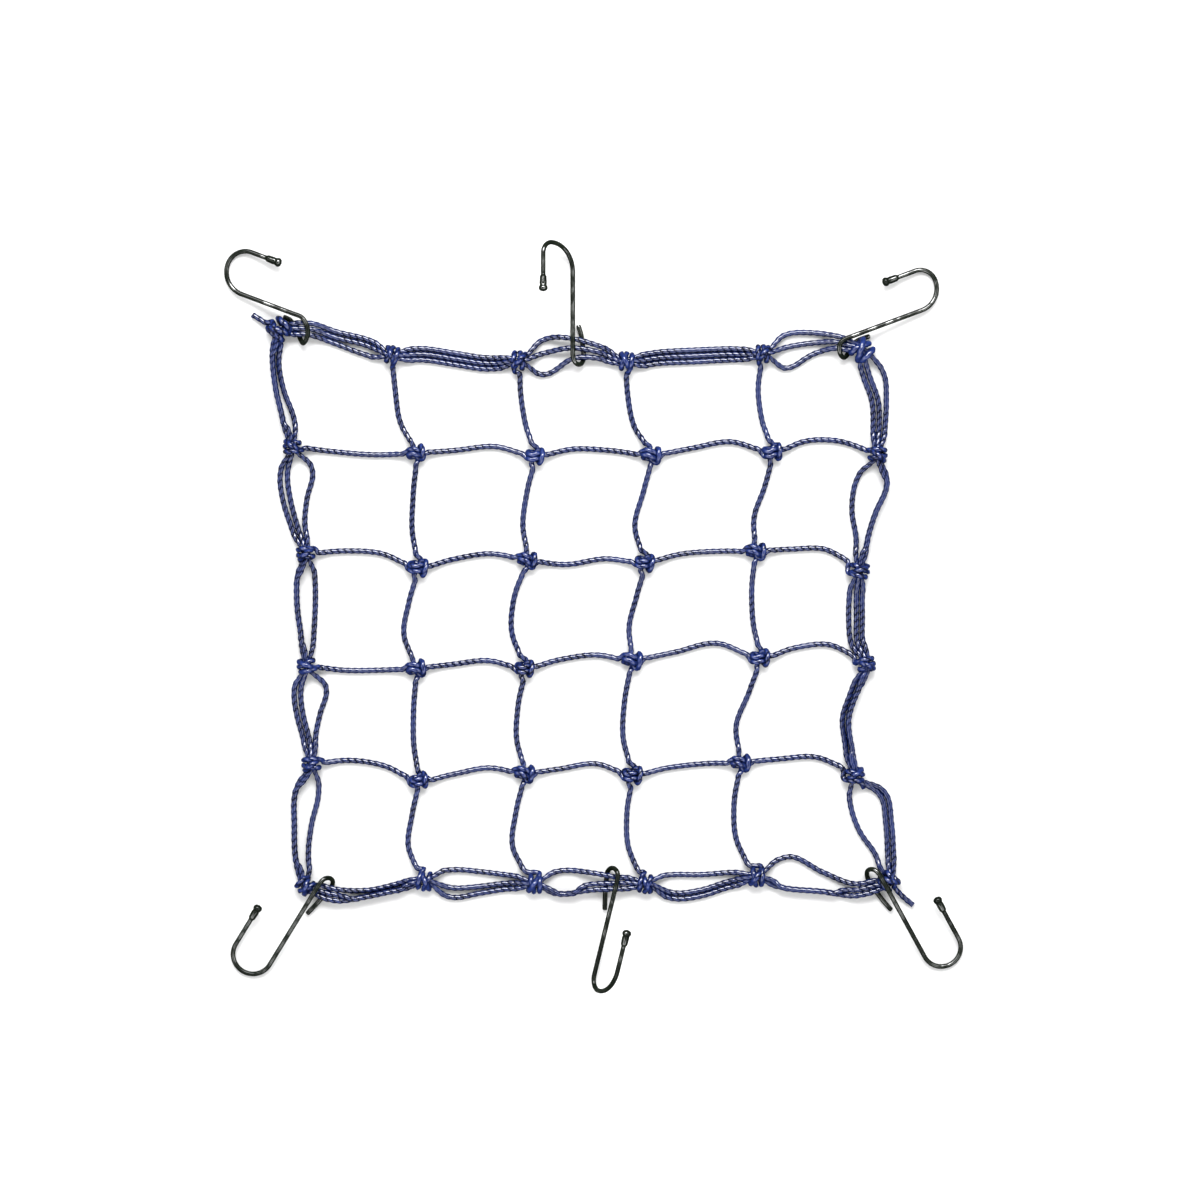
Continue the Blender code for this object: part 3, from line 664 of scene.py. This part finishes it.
def makeBraidGroup():
    # A braided sleeve on a twisted core, from a cord's own cordPlace attribute, with painted shade in the ply
    # valleys, painted highlights on the crests, painted shade on the sides and painted light in knots
    group = bpy.data.node_groups.new("braidedSleeve", "ShaderNodeTree")
    addSockets(group, (
        # painted shade in the ply valleys and painted highlight on their crests
        ("Painted valley shade", "NodeSocketColor", (0.002, 0.003, 0.01, 1)),
        ("Body colour", "NodeSocketColor", (0.006, 0.0125, 0.066, 1)),
        ("Painted crest highlight", "NodeSocketColor", (0.0145, 0.029, 0.135, 1)),
        # painted shade on the sides and painted light in knots
        ("Side shade", "NodeSocketFloat", 0.45),
        ("Painted light in knots", "NodeSocketFloat", 0.45),
        ("Lay length", "NodeSocketFloat", 0.0036),
        ("Plait length", "NodeSocketFloat", 0.0024),
        ("Plaits", "NodeSocketFloat", 4.0),
    ), (("Colour", "NodeSocketColor"), ("Roughness", "NodeSocketFloat"), ("Height", "NodeSocketFloat")))
    calc = partial(calculate, group)
    given = group.nodes.new("NodeGroupInput").outputs
    place = addNode(group, "ShaderNodeAttribute", attribute_name="cordPlace").outputs["Vector"]
    parts = addNode(group, "ShaderNodeSeparateXYZ", {0: place}).outputs
    angle = calc("ARCTAN2", parts["Y"], parts["X"])

    turned = calc("MULTIPLY", calc("DIVIDE", parts["Z"], given["Lay length"]), math.pi)
    ply = calc("ABSOLUTE", calc("COSINE", calc("SUBTRACT", angle, turned)))
    ply = calc("POWER", ply, braid["coreRoundness"])
    step = calc("MULTIPLY", calc("DIVIDE", parts["Z"], given["Plait length"]), math.tau)
    wound = calc("MULTIPLY", angle, given["Plaits"])
    oneWay, otherWay = calc("SINE", calc("ADD", wound, step)), calc("SINE", calc("SUBTRACT", wound, step))
    weave = calc("MULTIPLY_ADD", calc("MULTIPLY", oneWay, otherWay), 0.5, 0.5)
    height = calc("ADD", calc("MULTIPLY", ply, braid["core"]), calc("MULTIPLY", weave, braid["sleeve"]))

    uneven = calc("SUBTRACT", noise(group, braid["unevenScale"]), 0.5)
    noisy = calc("ADD", height, calc("MULTIPLY", uneven, braid["unevenness"]))
    calm = mapRange(group, noise(group, braid["calmScale"], 1.0), braid["calmFrom"], braid["calmTo"])
    noisy = calc("MULTIPLY_ADD", calm, calc("MULTIPLY_ADD", height, *braid["calmColour"]), noisy)
    height = calc("MULTIPLY_ADD", calm, calc("MULTIPLY_ADD", height, *braid["calmRelief"]), height)
    # painted shade in the ply valleys and painted highlight on their crests
    colour = mixColour(group, mapRange(group, noisy, *braid["valleyToBody"]), given["Painted valley shade"],
                       given["Body colour"])
    colour = mixColour(group, mapRange(group, noisy, *braid["bodyToCrest"]), colour, given["Painted crest highlight"])

    # painted shade: the sides are darker than the top, by the upward part of the normal; painted light: the
    # turns of a knot are made paler, against that shade
    normal = group.nodes.new("ShaderNodeNewGeometry").outputs["Normal"]
    upward = addNode(group, "ShaderNodeSeparateXYZ", {0: normal}).outputs["Z"]
    shade = mapRange(group, upward, *braid["sideToTop"], given["Side shade"])
    knotted = addNode(group, "ShaderNodeAttribute", attribute_name="knotted").outputs["Fac"]
    shade = calc("MULTIPLY", shade, calc("MULTIPLY_ADD", knotted, given["Painted light in knots"], 1.0))
    colour = addNode(group, "ShaderNodeVectorMath", {0: colour, "Scale": shade}, operation="SCALE").outputs[0]
    addNode(group, "NodeGroupOutput", {
        "Colour": colour, "Roughness": calc("MULTIPLY_ADD", height, *braid["roughness"]), "Height": height,
    })
    return group


def makeGlossGroup():
    # Gloss of a thin round thing: full where it faces the viewer, none towards its edges
    group = bpy.data.node_groups.new("glossFacing", "ShaderNodeTree")
    addSockets(group, (
        ("Facing", "NodeSocketFloat", 0.0),
        ("Patches", "NodeSocketFloat", 1.0),
        ("Full to", "NodeSocketFloat", 0.08),
        ("None from", "NodeSocketFloat", 0.2),
    ), (("Mask", "NodeSocketFloat"),))
    given = group.nodes.new("NodeGroupInput").outputs
    facing = mapRange(group, given["Facing"], given["Full to"], given["None from"], 1.0, 0.0)
    addNode(group, "NodeGroupOutput", {"Mask": calculate(group, "MULTIPLY", facing, given["Patches"])})
    return group


braidGroup = makeBraidGroup()
glossGroup = makeGlossGroup()
coat = {
    "specularLevel": 0.02,       # of what is under it
    "roughness": 0.12,
}


def newMaterial(name):
    material = bpy.data.materials.new(name)
    material.use_nodes = True
    return material, material.node_tree, material.node_tree.nodes["Principled BSDF"].inputs


def addCoat(tree, shader, ior, patches, noneFrom):      # only where the surface faces the viewer
    shader["Specular IOR Level"].default_value = coat["specularLevel"]
    shader["Coat Roughness"].default_value = coat["roughness"]
    shader["Coat IOR"].default_value = ior
    facing = addNode(tree, "ShaderNodeLayerWeight", {"Blend": 0.5}).outputs["Facing"]
    gloss = addNode(tree, "ShaderNodeGroup", node_tree=glossGroup)
    for label, value in (("Facing", facing), ("Patches", patches), ("None from", noneFrom)):
        setOrLink(tree, value, gloss.inputs[label])
    tree.links.new(gloss.outputs["Mask"], shader["Coat Weight"])


def addBump(tree, shader, height, strength, distance):
    bump = addNode(tree, "ShaderNodeBump", {"Strength": strength, "Distance": distance, "Height": height})
    tree.links.new(bump.outputs[0], shader["Normal"])


cordFinish = {
    "coatIor": 2.05,
    "polished": (0.38, 0.7),     # only the raised yarns are
    "glossEnd": 0.2,
    "bump": (0.7, 0.0003),       # strength and distance
}


def elasticCordMaterial():
    material, tree, shader = newMaterial("elasticCordBlue")
    yarn = addNode(tree, "ShaderNodeGroup", node_tree=braidGroup).outputs
    raised = mapRange(tree, yarn["Height"], *cordFinish["polished"])
    addCoat(tree, shader, cordFinish["coatIor"], raised, cordFinish["glossEnd"])
    tree.links.new(yarn["Colour"], shader["Base Color"])
    tree.links.new(yarn["Roughness"], shader["Roughness"])
    addBump(tree, shader, yarn["Height"], *cordFinish["bump"])
    return material


wireFinish = {
    "coatIor": 3.2,
    "glossEnd": 0.12,
    "dark": (0.002, 0.004, 0.002, 1),
    "pale": (0.012, 0.016, 0.011, 1),
    "grimeScale": 160,
    "darkToPale": (0.35, 0.7),
    "worn": (0.48, 0.6, 0.12),   # the plating keeps its shine in patches: from, to, and the least shine
    "roughness": (0.3, 0.6),
    "bump": (0.3, 0.0002),
}


def wireMaterial():
    material, tree, shader = newMaterial("darkPlatedWire")
    grime = noise(tree, wireFinish["grimeScale"], 4.0)
    addCoat(tree, shader, wireFinish["coatIor"], mapRange(tree, grime, *wireFinish["worn"]),
            wireFinish["glossEnd"])
    pale = mapRange(tree, grime, *wireFinish["darkToPale"])
    tree.links.new(mixColour(tree, pale, wireFinish["dark"], wireFinish["pale"]), shader["Base Color"])
    tree.links.new(mapRange(tree, grime, 0.0, 1.0, *wireFinish["roughness"]), shader["Roughness"])
    addBump(tree, shader, grime, *wireFinish["bump"])
    return material


cordBlue = elasticCordMaterial()
wireDark = wireMaterial()
print("stage: materials made")

cordValues = {"Step": 0.0008, "Sides": 10, "Relief": 0.00014, "Lay length": 0.0036, "Plies": 2.0}
wireValues = {"Step": 0.0005, "Sides": 16, "Relief": 0.0}

meshCords = tubes("meshCords", allMeshCords(), cordBlue, cordValues)
borderCord = tubes("borderCord", [borderStrand(strand) for strand in range(3)] + cornerTies(), cordBlue,
                   cordValues)
for piece in (meshCords, borderCord):
    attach(piece, "root")
    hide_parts("cord_net")

for node in hooks:
    words = node.split("_")
    piece = tubes(words[0] + "".join(word.capitalize() for word in words[1:]), [hookRoute(node)], wireDark,
                  wireValues)
    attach(piece, "root")
    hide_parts(node)

studio = {
    "floorSize": 6.0,
    "floorTones": ((0.8, 0.8, 0.8, 1), (0.84, 0.84, 0.84, 1)),
    "floorToneScale": 3.0,
    "floorRoughness": 0.7,
    "cameraHeight": 2.0,
    "frameWidth": 0.631,
    "aim": (0.0035, 0.0089),
    "walls": 1.8,                # strength of the light from them
    "ceiling": 0.12,
    "wallsToCeiling": (0.7, 0.92),     # upward part of the direction
    "softboxPlace": (0.0, 1.6, 1.9),
    "softboxSize": (1.8, 1.0),
    "softboxPower": 65,
}


def floorMaterial():
    material, tree, shader = newMaterial("paleFloor")
    shader["Roughness"].default_value = studio["floorRoughness"]
    tone = noise(tree, studio["floorToneScale"])
    tree.links.new(mixColour(tree, tone, *studio["floorTones"]), shader["Base Color"])
    return material


def makeFloor():
    half = studio["floorSize"] / 2
    mesh = bpy.data.meshes.new("floor")
    corners = [(-half, -half, 0), (half, -half, 0), (half, half, 0), (-half, half, 0)]
    mesh.from_pydata(corners, [], [(0, 1, 2, 3)])
    mesh.materials.append(floorMaterial())
    item = bpy.data.objects.new("floor", mesh)
    bpy.context.scene.collection.objects.link(item)


def makeRoomLight():         # pale walls and a dark ceiling
    world = bpy.data.worlds.new("studio")
    bpy.context.scene.world = world
    world.use_nodes = True
    tree = world.node_tree
    background = tree.nodes["Background"].inputs
    background["Color"].default_value = (1, 1, 1, 1)
    direction = addNode(tree, "ShaderNodeTexCoord").outputs["Generated"]
    upward = addNode(tree, "ShaderNodeSeparateXYZ", {0: direction}).outputs["Z"]
    overhead = mapRange(tree, upward, *studio["wallsToCeiling"], studio["walls"], studio["ceiling"])
    tree.links.new(overhead, background["Strength"])


def makeSoftbox():           # beyond the net's top edge, aimed at its middle
    light = bpy.data.lights.new("softboxFar", "AREA")
    light.shape = "RECTANGLE"
    light.size, light.size_y = studio["softboxSize"]
    light.energy = studio["softboxPower"]
    item = bpy.data.objects.new("softboxFar", light)
    item.location = studio["softboxPlace"]
    item.rotation_euler = (-Vector(studio["softboxPlace"])).to_track_quat("-Z", "Y").to_euler()
    bpy.context.scene.collection.objects.link(item)


def makeCamera():            # looks straight down
    camera = bpy.data.cameras.new("camera")
    camera.lens = camera.sensor_width * studio["cameraHeight"] / studio["frameWidth"]
    item = bpy.data.objects.new("camera", camera)
    item.location = (*studio["aim"], studio["cameraHeight"])
    bpy.context.scene.collection.objects.link(item)
    bpy.context.scene.camera = item
    bpy.context.scene.view_settings.view_transform = "Standard"


makeFloor()
makeRoomLight()
makeSoftbox()
makeCamera()
print("stage: studio made")
